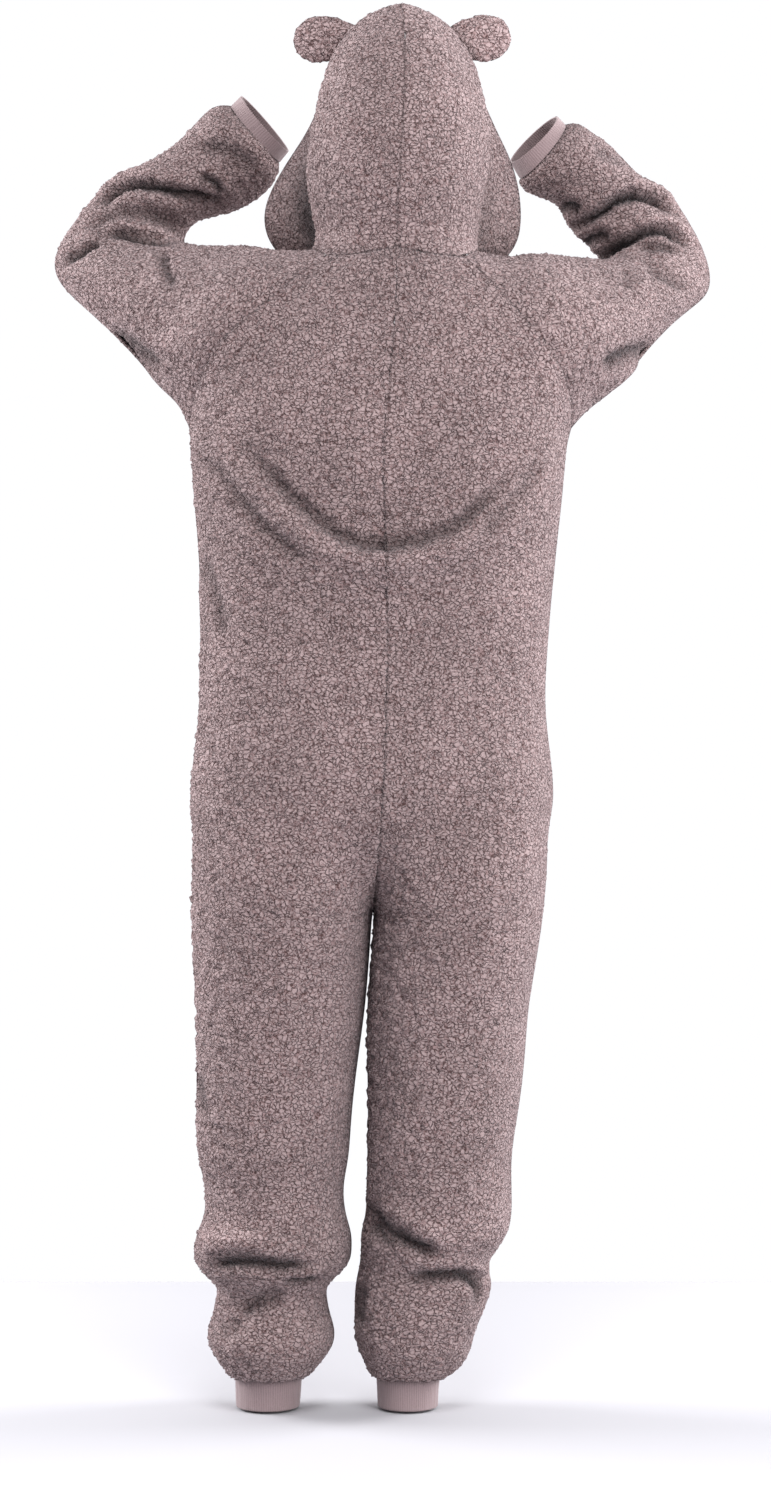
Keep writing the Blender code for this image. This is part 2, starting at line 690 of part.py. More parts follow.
def hood_grid(side):
    """Rows from the neck seam to the crown; the first column and the last row lie along the centre seam."""
    back = neck_line(side, 0, RAGLAN_TURN_BACK, BODY_COLUMNS)
    middle = neck_line(side, RAGLAN_TURN_BACK, RAGLAN_TURN_FRONT, NECK_COLUMNS)
    front = neck_line(side, RAGLAN_TURN_FRONT, 180, BODY_COLUMNS)
    neck = np.vstack([back, middle[1:-1], front])
    neck[-1] += side * ZIP_HALF_GAP * point(1, 0, 0)
    steps = np.linalg.norm(np.diff(neck, axis=0), axis=1)
    neck_shares = np.concatenate([[0], np.cumsum(steps)]) / steps.sum()
    levels = [neck]
    for k, row in enumerate(rows_of(HOOD[side]), 1):
        through = [(row[f"{c}_x"], row[f"{c}_y"], row[f"{c}_z"]) for c in HOOD_POINTS]
        evenness = min(1.0, k / 3)
        shares = neck_shares * (1 - evenness) + np.linspace(0, 1, HOOD_COLUMNS + 1) * evenness
        levels.append(spaced(spline(through, 60), shares))
    grid = np.stack([spline(column, HOOD_ROWS + 1) for column in np.stack(levels, axis=1)], axis=1)
    grid[:, 0, 0] += side * EDGE
    grid[-1, 1:, 0] += side * EDGE
    grid[0, :, 2] += 3 * EDGE
    return grid


def hood_normals(side, grid):
    normals = away_from_rows(grid, grid_normals(grid))
    normals[0] = outward(grid[0] - 3 * EDGE * point(0, 0, 1))
    normals[1] = normals[0] + 1.5 * normals[1]
    normals[:, 0, 0] = 0
    normals[-1, :, 0] = 0
    return normals / np.linalg.norm(normals, axis=2)[:, :, None]


# ---------------------------------------------------------------- ears

# base is the middle of the ear's root on the hood; axis points from it to the ear's tip.
EARS = {
    LEFT: {"base": (50, -30, 265), "axis": (0.97, -0.12, 0.14)},
    RIGHT: {"base": (-80, -30, 263), "axis": (-0.96, -0.12, 0.25)},
}
EAR_LENGTH, EAR_ROOT_HALF, EAR_HALF, EAR_BULGE, EAR_RIM = 66.0, 22.0, 28.5, 6.0, 3.2
EAR_ROWS = EAR_COLUMNS = 6
EAR_SHOULDER = 0.42  # share of its length at which the ear is widest


def ear_grids(side, facing, hood):
    """Outer and inner points of the ear's back or front half, standing on the hood."""
    base, axis = point(*EARS[side]["base"]), unit(point(*EARS[side]["axis"]))
    out = facing * unit(point(0, 1, 0) - axis[1] * axis)
    across = unit(np.cross(out, axis))
    t = np.sin(np.linspace(0, 0.47 * math.pi, EAR_ROWS + 1))
    t[-1] = 0.992
    a = np.linspace(-1, 1, EAR_COLUMNS + 1)
    beyond = np.clip((t - EAR_SHOULDER) / (1 - EAR_SHOULDER), 0, 1)
    near = np.clip(t / EAR_SHOULDER, 0, 1)
    half = EAR_ROOT_HALF + (EAR_HALF - EAR_ROOT_HALF) * np.sin(near * math.pi / 2)
    half = half * (1 - beyond**2.3) ** 0.45
    bulge = EAR_BULGE * np.sqrt(1 - t**2)[:, None] * (1 - a**2)[None]
    grids = []
    for height, narrower in ((EAR_RIM + bulge, 1.4), (EDGE + 0.55 * bulge, 0.0)):
        width = np.maximum(half - narrower, 2.0)
        grid = (
            base + EAR_LENGTH * (t - 0.012 * narrower)[:, None, None] * axis
            + (width[:, None] * a[None])[:, :, None] * across + height[:, :, None] * out
        )
        for c, root in enumerate(grid[0].copy()):
            hit = hood.ray_cast(Vector((root + 60 * axis) * MM), Vector(-axis))[0]
            moved = np.array(hit) / MM + 4 * EDGE * axis - root
            grid[:, c] += moved * ((1 - t) ** 1.5)[:, None]
        grids.append(grid)
    return grids


# ---------------------------------------------------------------- cuffs

CUFF_COLUMNS, CUFF_ROWS = 18, 3
ANKLE_CUFFS = {
    LEFT: table(
        "z inner outer depth",
        (-1308.4, 103, 183, 43), (-1325, 104, 183, 41), (-1349, 106, 182, 40),
    ),
    RIGHT: table(
        "z inner outer depth",
        (-1308.4, 17, -61, 42), (-1325, 16, -58, 40), (-1349, 15, -57, 39),
    ),
}


def wrist_cuff_grid(side):
    grid = ovals(WRIST_CUFFS[side], CUFF_ROWS + 1, CUFF_COLUMNS, WRIST_LEAN[side], closed=True)
    step = grid[1] - grid[0]
    grid[0] += 2 * EDGE * step / np.linalg.norm(step, axis=1)[:, None]
    return grid


def ankle_cuff_grid(side):
    rows = spline(columns(ANKLE_CUFFS[side], "z inner outer depth"), CUFF_ROWS + 1)
    angle = np.linspace(0, 2 * math.pi, CUFF_COLUMNS + 1)[:-1]
    rings = []
    for z, inner, outer, depth in rows:
        x = (inner + outer) / 2 + (outer - inner) / 2 * np.cos(angle)
        rings.append(np.stack([x, depth * np.sin(angle), np.full(len(angle), z)], axis=1))
    return np.array(rings)


# ---------------------------------------------------------------- zip

TAPE_INNER, TAPE_OUTER, TAPE_THICKNESS = 1.8, 14.0, 1.0  # of each tape, from the middle of the zip
TAPE_BELOW = FLEECE + 0.6  # depth of the tape's face below the panel's outer face
SLIDER_Z = -78.0
# Slider: rectangles one on another, outwards. depth is from the panel's outer face, across and along from
# its middle.
SLIDER = table(
    "depth across low high",
    (-7.9, 3.2, -6, 6),
    (-6.6, 3.2, -6, 6),
    (-6.6, 1.3, 1, 5.5),
    (-3.4, 1.3, 1, 5.5),
    (-3.4, 3.2, -6, 6),
    (-1.9, 3.2, -6, 6),
    (-1.9, 1.0, 1, 5),
    (2.6, 1.0, 1, 5),
)
PULL_AXIS = (3.0, 1.3)  # the hinge's place along the zip, and its depth
PULL_DEPTHS = (0.6, 2.0)
PULL = table(  # half of the pull tab's outline, from its fork to its tip
    "across along",
    (1.3, -2),
    (1.3, 4.6),
    (2.8, 4.6),
    (2.8, -3),
    (3.3, -5),
    (3.3, -21),
    (2.6, -23.6),
    (1.2, -24.6),
)


def tape_grids(side, panel, normals):
    """Outer and inner points of one zip tape, made from the front panel's points beside the opening."""
    rows = [r for r in range(len(panel)) if panel[r, 0, 2] > ZIP_END + 10]
    middles = [point(monotone(CENTRE_SEAM["z"], CENTRE_SEAM["x"], panel[r, 0, 2:])[0], 0, 0) for r in rows]
    grid, directions = [], []
    for r, middle in zip(rows, middles):
        step = unit(panel[r, 1] - panel[r, 0])
        start = abs(panel[r, 0, 0] - middle[0])
        reach = np.array([TAPE_INNER - start, (TAPE_INNER + TAPE_OUTER) / 2 - start, TAPE_OUTER - start])
        share = np.clip(reach / np.linalg.norm(panel[r, 1] - panel[r, 0]), 0, 1)[:, None]
        grid.append(panel[r, 0] + reach[:, None] * step)
        directions.append(normals[r, 0] * (1 - share) + normals[r, 1] * share)
    grid, directions = np.array(grid), np.array(directions)
    return grid - TAPE_BELOW * directions, grid - (TAPE_BELOW + TAPE_THICKNESS) * directions


def slider_frame(left, right):
    """The zip's middle at SLIDER_Z with its directions across, along and outwards."""
    edge = (left[:3, 0] + right[:3, 0]) / 2
    share = np.interp(SLIDER_Z, edge[::-1, 2], [2, 1, 0])
    i = int(share)
    middle = edge[i] + (share - i) * (edge[i + 1] - edge[i])
    along = unit(edge[i] - edge[i + 1])
    out = unit(np.cross(point(1, 0, 0), along))
    return middle, np.cross(along, out), along, out


def solid(name, points, faces, material):
    mesh = bpy.data.meshes.new(name)
    mesh.from_pydata((np.array(points) * MM).tolist(), [], faces)
    return finished_object(name, mesh, material)


def slider_solid(frame, material):
    middle, across, along, out = frame
    points = [
        middle + x * across + z * along + row["depth"] * out
        for row in rows_of(SLIDER)
        for x, z in (
            (-row["across"], row["low"]), (row["across"], row["low"]),
            (row["across"], row["high"]), (-row["across"], row["high"]),
        )
    ]
    count = len(points)
    faces = [(0, 1, 2, 3), (count - 1, count - 2, count - 3, count - 4)]
    for first in range(0, count - 4, 4):
        for k in range(4):
            n = (k + 1) % 4
            faces.append((first + k, first + 4 + k, first + 4 + n, first + n))
    return solid("zip_slider", points, faces, material)


def pull_solid(frame, material):
    """The pull tab, with its object's origin on the hinge's axis."""
    middle, across, along, out = frame
    hinge = middle + PULL_AXIS[0] * along + PULL_AXIS[1] * out
    half = list(zip(*PULL.values()))
    outline = half + [(-x, z) for x, z in half[::-1]]
    points = [
        middle + x * across + z * along + depth * out - hinge for depth in PULL_DEPTHS for x, z in outline
    ]
    count = len(outline)
    faces = [tuple(range(count)), tuple(range(2 * count - 1, count - 1, -1))]
    faces += [(k, k + count, (k + 1) % count + count, (k + 1) % count) for k in range(count)]
    made = solid("zip_pull", points, faces, material)
    made.location = (hinge * MM).tolist()
    return made


# ---------------------------------------------------------------- walls

def grid_triangles(grid, closed=False):
    """Triangles of a grid of points numbered row by row, each quad cut along its shorter diagonal.

    The quads at an open grid's corners are cut through the corner."""
    rows, columns = grid.shape[:2]
    through_first = {(0, 0), (rows - 2, columns - 2)}
    through_second = {(0, columns - 2), (rows - 2, 0)}
    flat = grid.reshape(-1, 3)
    faces = []
    for r in range(rows - 1):
        for c in range(columns if closed else columns - 1):
            e = (c + 1) % columns
            a, b = r * columns + c, r * columns + e
            d, f = a + columns, b + columns
            first_shorter = np.linalg.norm(flat[a] - flat[f]) < np.linalg.norm(flat[b] - flat[d])
            if not closed:
                first_shorter = ((r, c) in through_first or first_shorter) and (r, c) not in through_second
            if first_shorter:
                faces += [(a, b, f), (a, f, d)]
            else:
                faces += [(a, b, d), (b, f, d)]
    return faces


def wall(name, outer, inner, material, closed=False):
    """A closed wall between an outer and an inner grid of points, as one object.

    The narrow faces along its edges are cut from the higher outer point, so both sides of a seam match."""
    rows, columns = outer.shape[:2]
    half = rows * columns
    faces = grid_triangles(outer, closed)
    faces += [(c + half, b + half, a + half) for a, b, c in faces]
    edges = [list(range(columns)), [(rows - 1) * columns + c for c in range(columns)][::-1]]
    if not closed:
        edges.append([r * columns for r in range(rows)][::-1])
        edges.append([r * columns + columns - 1 for r in range(rows)])
    points = np.vstack([outer.reshape(-1, 3), inner.reshape(-1, 3)])
    height = points @ point(0.13, 0.21, 1)
    for edge in edges:
        loop = edge + edge[:1] if closed else edge
        for a, b in zip(loop, loop[1:]):
            if height[a] > height[b]:
                faces += [(b, a, b + half), (a, a + half, b + half)]
            else:
                faces += [(b, a, a + half), (b, a + half, b + half)]
    mesh = bpy.data.meshes.new(name)
    mesh.from_pydata((points * MM).tolist(), [], faces)
    return finished_object(name, mesh, material)


def finished_object(name, mesh, material):
    if signed_volume(mesh) < 0:
        mesh.flip_normals()
    mesh.shade_smooth()
    mesh.set_sharp_from_angle(angle=math.radians(60))
    mesh.materials.append(material)
    made = bpy.data.objects.new(name, mesh)
    bpy.context.scene.collection.objects.link(made)
    return made


def signed_volume(mesh):
    mesh.calc_loop_triangles()
    points = np.array([v.co for v in mesh.vertices])
    corners = points[np.array([t.vertices for t in mesh.loop_triangles])]
    return np.linalg.det(corners).sum()


def grid_normals(grid, round_seam=False, closed=False):
    """Normals of a grid of points. With round_seam, a row's two ends meet and share one normal."""
    around = np.roll(grid, -1, axis=1) - np.roll(grid, 1, axis=1) if closed else np.gradient(grid, axis=1)
    if round_seam:
        around[:, 0] = around[:, -1] = grid[:, 1] - grid[:, -2]
    normals = np.cross(around, np.gradient(grid, axis=0))
    return normals / np.linalg.norm(normals, axis=2)[:, :, None]


def away_from_rows(grid, normals):
    """The same normals, turned if need be to point away from the middles of the grid's rows."""
    return normals * np.sign((normals * (grid - grid.mean(1)[:, None])).sum())


def body_normals(side, grid):
    above = outward(grid[: -len(LEG_LEVELS)].reshape(-1, 3))
    below = outward(grid[-len(LEG_LEVELS):].reshape(-1, 3), side)
    return np.vstack([above, below]).reshape(grid.shape)


def sleeve_normals(grid):
    normals = away_from_rows(grid, grid_normals(grid, round_seam=True))
    normals[0] = outward(grid[0])
    return normals


def cloth(name, grid, normals, thickness, material, closed=False):
    """A wall of cloth inside a grid of points."""
    return wall(name, grid, grid - thickness * normals, material, closed)


def finish(name, colour, roughness, metallic=0.0):
    material = bpy.data.materials.new(name)
    material.use_nodes = True
    shader = material.node_tree.nodes["Principled BSDF"]
    shader.inputs["Base Color"].default_value = (*colour, 1)
    shader.inputs["Roughness"].default_value = roughness
    shader.inputs["Metallic"].default_value = metallic
    material.diffuse_color = (*colour, 1)
    return material


FLEECE_COLOUR, RIB_COLOUR, TAPE_COLOUR, METAL_COLOUR = (
    (0.30, 0.23, 0.235), (0.27, 0.21, 0.22), (0.20, 0.15, 0.155), (0.45, 0.42, 0.42),
)


def fleece(name):
    return finish(name, FLEECE_COLOUR, 0.95)


def main():
    for old in list(bpy.data.objects):
        bpy.data.objects.remove(old)
    fronts = {}
    for side, name in ((LEFT, "left"), (RIGHT, "right")):
        for facing, part in ((1, f"back_{name}"), (-1, f"front_{name}")):
            grid = body_panel(side, facing)
            normals = body_normals(side, grid)
            cloth(part, grid, normals, FLEECE, fleece(part))
        fronts[side] = grid
        tape = f"zip_tape_{name}"
        wall(tape, *tape_grids(side, grid, normals), finish(tape, TAPE_COLOUR, 0.8))

        sleeve = sleeve_grid(side)
        cloth(f"sleeve_{name}", sleeve, sleeve_normals(sleeve), FLEECE, fleece(f"sleeve_{name}"))

        grid = hood_grid(side)
        hood = cloth(f"hood_{name}", grid, hood_normals(side, grid), FLEECE, fleece(f"hood_{name}"))
        corners = [v.co for v in hood.data.vertices]
        surface = BVHTree.FromPolygons(corners, [f.vertices for f in hood.data.polygons])
        for facing, part in ((1, f"ear_back_{name}"), (-1, f"ear_front_{name}")):
            wall(part, *ear_grids(side, facing, surface), fleece(part))

        cuffs = {"wrist_cuff": wrist_cuff_grid(side), "ankle_cuff": ankle_cuff_grid(side)}
        for cuff, grid in cuffs.items():
            part = f"{cuff}_{name}"
            normals = away_from_rows(grid, grid_normals(grid, closed=True))
            cloth(part, grid, normals, RIB, finish(part, RIB_COLOUR, 0.9), closed=True)

    frame = slider_frame(fronts[LEFT], fronts[RIGHT])
    slider_solid(frame, finish("zip_slider", METAL_COLOUR, 0.35, 1.0))
    pull_solid(frame, finish("zip_pull", METAL_COLOUR, 0.35, 1.0))


main()
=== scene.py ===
import math

import bmesh
import bpy
import numpy as np
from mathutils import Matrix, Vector, kdtree


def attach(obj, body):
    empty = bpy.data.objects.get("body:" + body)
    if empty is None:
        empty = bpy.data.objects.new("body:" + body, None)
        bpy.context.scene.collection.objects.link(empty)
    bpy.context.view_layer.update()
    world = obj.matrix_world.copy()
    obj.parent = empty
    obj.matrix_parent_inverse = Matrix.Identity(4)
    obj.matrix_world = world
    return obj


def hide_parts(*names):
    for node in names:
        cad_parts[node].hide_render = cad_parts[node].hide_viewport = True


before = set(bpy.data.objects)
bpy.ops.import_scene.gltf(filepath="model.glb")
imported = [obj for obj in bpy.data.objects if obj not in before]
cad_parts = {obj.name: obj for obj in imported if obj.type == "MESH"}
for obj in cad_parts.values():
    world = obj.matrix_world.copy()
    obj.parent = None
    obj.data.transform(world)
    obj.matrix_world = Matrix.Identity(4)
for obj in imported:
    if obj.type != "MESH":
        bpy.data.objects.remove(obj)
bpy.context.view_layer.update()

sides = ("left", "right")
print("stage: frame loaded")

camera = {"place": (0.0053, 3.8, -0.576), "lens": 77.3, "sensor": 36.0}
bpy.ops.object.camera_add(location=camera["place"], rotation=(math.pi / 2, 0, math.pi))
seenFrom = bpy.context.object
seenFrom.name = "camera"
seenFrom.data.lens = camera["lens"]
seenFrom.data.sensor_width = camera["sensor"]
seenFrom.data.sensor_height = camera["sensor"]
seenFrom.data.sensor_fit = "VERTICAL"
bpy.context.scene.camera = seenFrom
bpy.context.scene.view_settings.view_transform = "Standard"


def deselectAll():
    if bpy.context.object and bpy.context.object.mode != "OBJECT":
        bpy.ops.object.mode_set(mode="OBJECT")
    bpy.ops.object.select_all(action="DESELECT")


def makeActive(piece):
    deselectAll()
    piece.select_set(True)
    bpy.context.view_layer.objects.active = piece


def applyAll(piece):
    makeActive(piece)
    for modifier in list(piece.modifiers):
        bpy.ops.object.modifier_apply(modifier=modifier.name)


mergeDistance = 0.00002
quadAngle = math.radians(100)


# A copy of a CAD node's mesh as a new piece, with its triangles joined into quads.
def copyOf(node, name):
    piece = bpy.data.objects.new(name, bpy.data.objects[node].data.copy())
    bpy.context.scene.collection.objects.link(piece)
    piece.data.materials.clear()
    makeActive(piece)
    bpy.ops.object.mode_set(mode="EDIT")
    bpy.ops.mesh.select_all(action="SELECT")
    bpy.ops.mesh.remove_doubles(threshold=mergeDistance)
    bpy.ops.mesh.tris_convert_to_quads(face_threshold=quadAngle, shape_threshold=quadAngle)
    bpy.ops.object.mode_set(mode="OBJECT")
    return piece


outerMark, innerMark, edgeMark = 0, 1, 2
sharpAngle = 0.95


# Marks the cloth's outer faces, its inner faces and the narrow edge faces between them.
def markFaces(piece):
    shape = bmesh.new()
    shape.from_mesh(piece.data)
    crease = shape.edges.layers.float.new("crease_edge")
    sharp = set()
    for edge in shape.edges:
        if len(edge.link_faces) == 2 and edge.calc_face_angle(0) > sharpAngle:
            edge[crease] = 1.0
            sharp.add(edge)
    left = set(shape.faces)
    regions = []
    while left:
        first = left.pop()
        region, queue = [first], [first]
        while queue:
            for edge in queue.pop().edges:
                if edge in sharp:
                    continue
                for face in edge.link_faces:
                    if face in left:
                        left.discard(face)
                        region.append(face)
                        queue.append(face)
        regions.append(region)
    middle = sum((v.co for v in shape.verts), Vector()) / len(shape.verts)
    regions.sort(key=lambda region: -sum(face.calc_area() for face in region))

    def outwardness(region):
        ways = ((face, face.calc_center_median() - middle) for face in region)
        return sum(face.normal.dot(way) * face.calc_area() for face, way in ways)

    for region in regions:
        for face in region:
            face.material_index = edgeMark
    walls = sorted(regions[:2], key=outwardness, reverse=True)
    for mark, region in zip((outerMark, innerMark), walls):
        for face in region:
            face.material_index = mark
    shape.to_mesh(piece.data)
    shape.free()


def subdivided(piece, levels):
    modifier = piece.modifiers.new("smooth", "SUBSURF")
    modifier.levels = modifier.render_levels = levels
    modifier.boundary_smooth = "PRESERVE_CORNERS"
    applyAll(piece)


# Leaves one face across the cloth's narrow edges, where the subdivision makes eight.
def edgesPlain(piece):
    shape = bmesh.new()
    shape.from_mesh(piece.data)

    def pointsWith(mark):
        return {vert for face in shape.faces if face.material_index == mark for vert in face.verts}

    outer = pointsWith(outerMark)
    steps = {vert: 0 for vert in outer}
    front = list(outer)
    while front:
        reached = []
        for vert in front:
            for edge in vert.link_edges:
                other = edge.other_vert(vert)
                if other not in steps:
                    steps[other] = steps[vert] + 1
                    reached.append(other)
        front = reached
    between = set(shape.verts) - outer - pointsWith(innerMark)
    along = []
    for edge in shape.edges:
        first, second = edge.verts
        if first in between and second in between and steps[first] == steps[second]:
            along.append(edge)
    bmesh.ops.dissolve_edges(shape, edges=along, use_verts=True)
    shape.to_mesh(piece.data)
    shape.free()


def pointsOf(piece, field="co"):
    flat = np.empty(len(piece.data.vertices) * 3)
    piece.data.vertices.foreach_get(field, flat)
    return flat.reshape(-1, 3)


def movePoints(piece, points):
    piece.data.vertices.foreach_set("co", points.ravel())
    piece.data.update()


# The point at each face's corner, the mark of the face there and its normal.
def cornersOf(piece):
    mesh = piece.data
    marks = np.empty(len(mesh.polygons), int)
    mesh.polygons.foreach_get("material_index", marks)
    totals = np.empty(len(mesh.polygons), int)
    mesh.polygons.foreach_get("loop_total", totals)
    normals = np.empty(len(mesh.polygons) * 3)
    mesh.polygons.foreach_get("normal", normals)
    corners = np.empty(len(mesh.loops), int)
    mesh.loops.foreach_get("vertex_index", corners)
    return corners, np.repeat(marks, totals), np.repeat(normals.reshape(-1, 3), totals, axis=0)


# For each point, whether it lies on faces with this mark.
def onFaces(piece, mark):
    corners, marks, _ = cornersOf(piece)
    mask = np.zeros(len(piece.data.vertices), bool)
    mask[corners[marks == mark]] = True
    return mask


markSigns = np.array((1, -1, 0))
tiny = 1e-6


# The way out through the cloth at each point; one on the narrow edge takes its neighbour's.
def outwardsOf(piece):
    corners, marks, normals = cornersOf(piece)
    ways = np.zeros((len(piece.data.vertices), 3))
    np.add.at(ways, corners, normals * markSigns[marks][:, None])
    lengths = np.linalg.norm(ways, axis=1)
    known = np.nonzero(lengths > tiny)[0]
    ways[known] /= lengths[known][:, None]
    points = pointsOf(piece)
    tree = kdtree.KDTree(len(known))
    for index in known:
        tree.insert(points[index], int(index))
    tree.balance()
    for index in np.nonzero(lengths <= tiny)[0]:
        ways[index] = ways[tree.find(points[index])[1]]
    return ways


# Distance from each point to the nearest of the others, up to a limit.
def nearest(points, others, limit):
    tree = kdtree.KDTree(len(others))
    for index, other in enumerate(others):
        tree.insert(other, index)
    tree.balance()
    low, high = others.min(0) - limit, others.max(0) + limit
    found = np.full(len(points), limit)
    near = np.all((points > low) & (points < high), axis=1)
    for index in np.nonzero(near)[0]:
        found[index] = min(limit, tree.find(points[index])[2])
    return found


def setAttribute(piece, name, values):
    attribute = piece.data.attributes.new(name, "FLOAT", "POINT")
    attribute.data.foreach_set("value", np.asarray(values, float))


def newMaterial(name):
    material = bpy.data.materials.new(name)
    material.use_nodes = True
    return material, material.node_tree, material.node_tree.nodes["Principled BSDF"]


# Sets a node's inputs: a plain value goes into the socket, another node's output is linked to it.
def feed(tree, node, inputs):
    for socket, value in inputs.items():
        if isinstance(value, bpy.types.NodeSocket):
            tree.links.new(value, node.inputs[socket])
        else:
            node.inputs[socket].default_value = value


# A new shader node with its inputs and settings; gives back the output asked for.
def addNode(tree, kind, output, inputs=None, **settings):
    node = tree.nodes.new("ShaderNode" + kind)
    for setting, value in settings.items():
        setattr(node, setting, value)
    feed(tree, node, inputs or {})
    return node.outputs[output]


# A colour ramp through (position, colour) stops.
def rampOf(tree, value, first, last, *between):
    node = tree.nodes.new("ShaderNodeValToRGB")
    stops = node.color_ramp.elements
    stops[0].position, stops[0].color = first
    stops[1].position, stops[1].color = last
    for position, colour in between:
        stops.new(position).color = colour
    tree.links.new(value, node.inputs["Fac"])
    return node.outputs["Color"]


# Multiplies a colour by light - share * the mesh's painted-shade attribute. That attribute paints
# shade into the folds, seams and grooves and under the hems, and paints the colour lighter where it
# is negative.
def shadedBy(tree, colour, share, light):
    paintedShade = addNode(tree, "Attribute", "Fac", attribute_name="paintedShade")
    inputs = {0: paintedShade, 1: -share, 2: light}
    darker = addNode(tree, "Math", "Value", inputs, operation="MULTIPLY_ADD")
    inputs = {"Vector": colour, "Scale": darker}
    return addNode(tree, "VectorMath", "Vector", inputs, operation="SCALE")


def bumpOf(tree, height, strength, distance):
    inputs = {"Strength": strength, "Distance": distance, "Height": height}
    return addNode(tree, "Bump", "Normal", inputs)


def noiseOf(tree, output, place, scale, detail, **inputs):
    inputs = {"Scale": scale, "Detail": detail, "Vector": place, **inputs}
    return addNode(tree, "TexNoise", output, inputs)


fleeceLook = {
    "tip": (0.342, 0.256, 0.255, 1),
    "middle": (0.262, 0.178, 0.176, 1),
    "deep": (0.072, 0.039, 0.037, 1),
    "stops": (0.06, 0.4, 0.8),
    "curls": 178.0,
    "rounding": 0.2,
    "stretch": (1, 1, 1.35),
    "wanderScale": 100.0,
    "wander": (0.011, 0.011, 0.011),
    "strandScale": 650.0,
    "strandHeight": 0.45,
    "clumpScale": 320.0,
    "clumpFrom": (0.38, 0.66),
    "clumpHeight": 0.5,
    "span": (0.2, 1.35),
    "patchScale": 12.0,
    "patchFrom": (0.3, 0.7),
    "patchLight": (0.9, 1.1),
    "foldShade": 0.88,
    "bump": 0.0022,
    "sheen": 0.2,
    "sheenTint": (0.95, 0.89, 0.94, 1),
}


def fleeceMaterial(name):
    look = fleeceLook
    material, tree, shader = newMaterial(name)
    place = addNode(tree, "TexCoord", "Object")
    stray = noiseOf(tree, "Color", place, look["wanderScale"], 2.0)
    inputs = {0: stray, 1: look["wander"], 2: place}
    wandering = addNode(tree, "VectorMath", "Vector", inputs, operation="MULTIPLY_ADD")
    flattened = addNode(tree, "Mapping", "Vector", {"Scale": look["stretch"], "Vector": wandering})
    inputs = {"Scale": look["curls"], "Vector": flattened}
    curls = addNode(tree, "TexVoronoi", "Distance", inputs, feature="DISTANCE_TO_EDGE")
    strands = noiseOf(tree, "Fac", wandering, look["strandScale"], 3.0, Roughness=0.6)
    inputs = {"From Max": look["rounding"], "Value": curls}
    rounded = addNode(tree, "MapRange", "Result", inputs, interpolation_type="SMOOTHSTEP")
    clumps = noiseOf(tree, "Fac", place, look["clumpScale"], 1.0)
    low, high = look["clumpFrom"]
    inputs = {"From Min": low, "From Max": high, "To Max": look["clumpHeight"], "Value": clumps}
    parted = addNode(tree, "MapRange", "Result", inputs, interpolation_type="SMOOTHSTEP")
    joined = addNode(tree, "Math", "Value", {0: rounded, 1: parted}, operation="MAXIMUM")
    inputs = {0: strands, 1: look["strandHeight"], 2: joined}
    height = addNode(tree, "Math", "Value", inputs, operation="MULTIPLY_ADD")
    low, high = look["span"]
    span = addNode(tree, "MapRange", "Result", {"From Min": low, "From Max": high, "Value": height})
    # The colour runs from deep, a shade painted into the gaps between the curls, through middle to
    # the tips.
    deep, middle, tip = zip(look["stops"], (look["deep"], look["middle"], look["tip"]))
    colour = rampOf(tree, span, deep, tip, middle)
    patches = noiseOf(tree, "Fac", place, look["patchScale"], 2.0)
    low, high = look["patchFrom"]
    dim, bright = look["patchLight"]
    inputs = {"From Min": low, "From Max": high, "To Min": dim, "To Max": bright, "Value": patches}
    light = addNode(tree, "MapRange", "Result", inputs)
    feed(
        tree,
        shader,
        {
            "Base Color": shadedBy(tree, colour, look["foldShade"], light),
            "Normal": bumpOf(tree, height, 1.0, look["bump"]),
            "Roughness": 1.0,
            "Specular IOR Level": 0.05,
            "Sheen Weight": look["sheen"],
            "Sheen Roughness": 0.5,
            "Sheen Tint": look["sheenTint"],
        },
    )
    return material


ribLook = {
    "thread": (0.36, 0.27, 0.277, 1),
    "shade": (0.285, 0.21, 0.216, 1),
    "stops": (0.1, 0.7),
    "knitScale": 700.0,
    "ribHeight": 0.3,
    "bump": (0.5, 0.0008),
}


def ribMaterial(name):
    look = ribLook
    material, tree, shader = newMaterial(name)
    around = addNode(tree, "Attribute", "Fac", attribute_name="around")
    turns = addNode(tree, "Math", "Value", {0: around, 1: 2 * math.pi}, operation="MULTIPLY")
    ribs = addNode(tree, "Math", "Value", {0: turns}, operation="COSINE")
    place = addNode(tree, "TexCoord", "Object")
    knit = noiseOf(tree, "Fac", place, look["knitScale"], 3.0)
    inputs = {0: ribs, 1: look["ribHeight"], 2: knit}
    height = addNode(tree, "Math", "Value", inputs, operation="MULTIPLY_ADD")
    colour = rampOf(tree, height, *zip(look["stops"], (look["shade"], look["thread"])))
    feed(
        tree,
        shader,
        {
            "Base Color": shadedBy(tree, colour, 1.0, 1.0),
            "Normal": bumpOf(tree, height, *look["bump"]),
            "Roughness": 0.95,
            "Specular IOR Level": 0.15,
            "Sheen Weight": 0.3,
            "Sheen Roughness": 0.5,
        },
    )
    return material


tapeLook = {
    "thread": (0.20, 0.155, 0.16, 1),
    "shade": (0.12, 0.09, 0.095, 1),
    "weave": 900.0,
    "bump": (0.4, 0.0003),
}


def tapeMaterial(name):
    look = tapeLook
    material, tree, shader = newMaterial(name)
    place = addNode(tree, "TexCoord", "Object")
    weave = tree.nodes.new("ShaderNodeTexChecker")
    feed(tree, weave, {"Scale": look["weave"], "Vector": place})
    feed(tree, weave, {"Color1": look["thread"], "Color2": look["shade"]})
    bump = bumpOf(tree, weave.outputs["Fac"], *look["bump"])
    feed(tree, shader, {"Base Color": weave.outputs["Color"], "Normal": bump, "Roughness": 0.8})
    return material


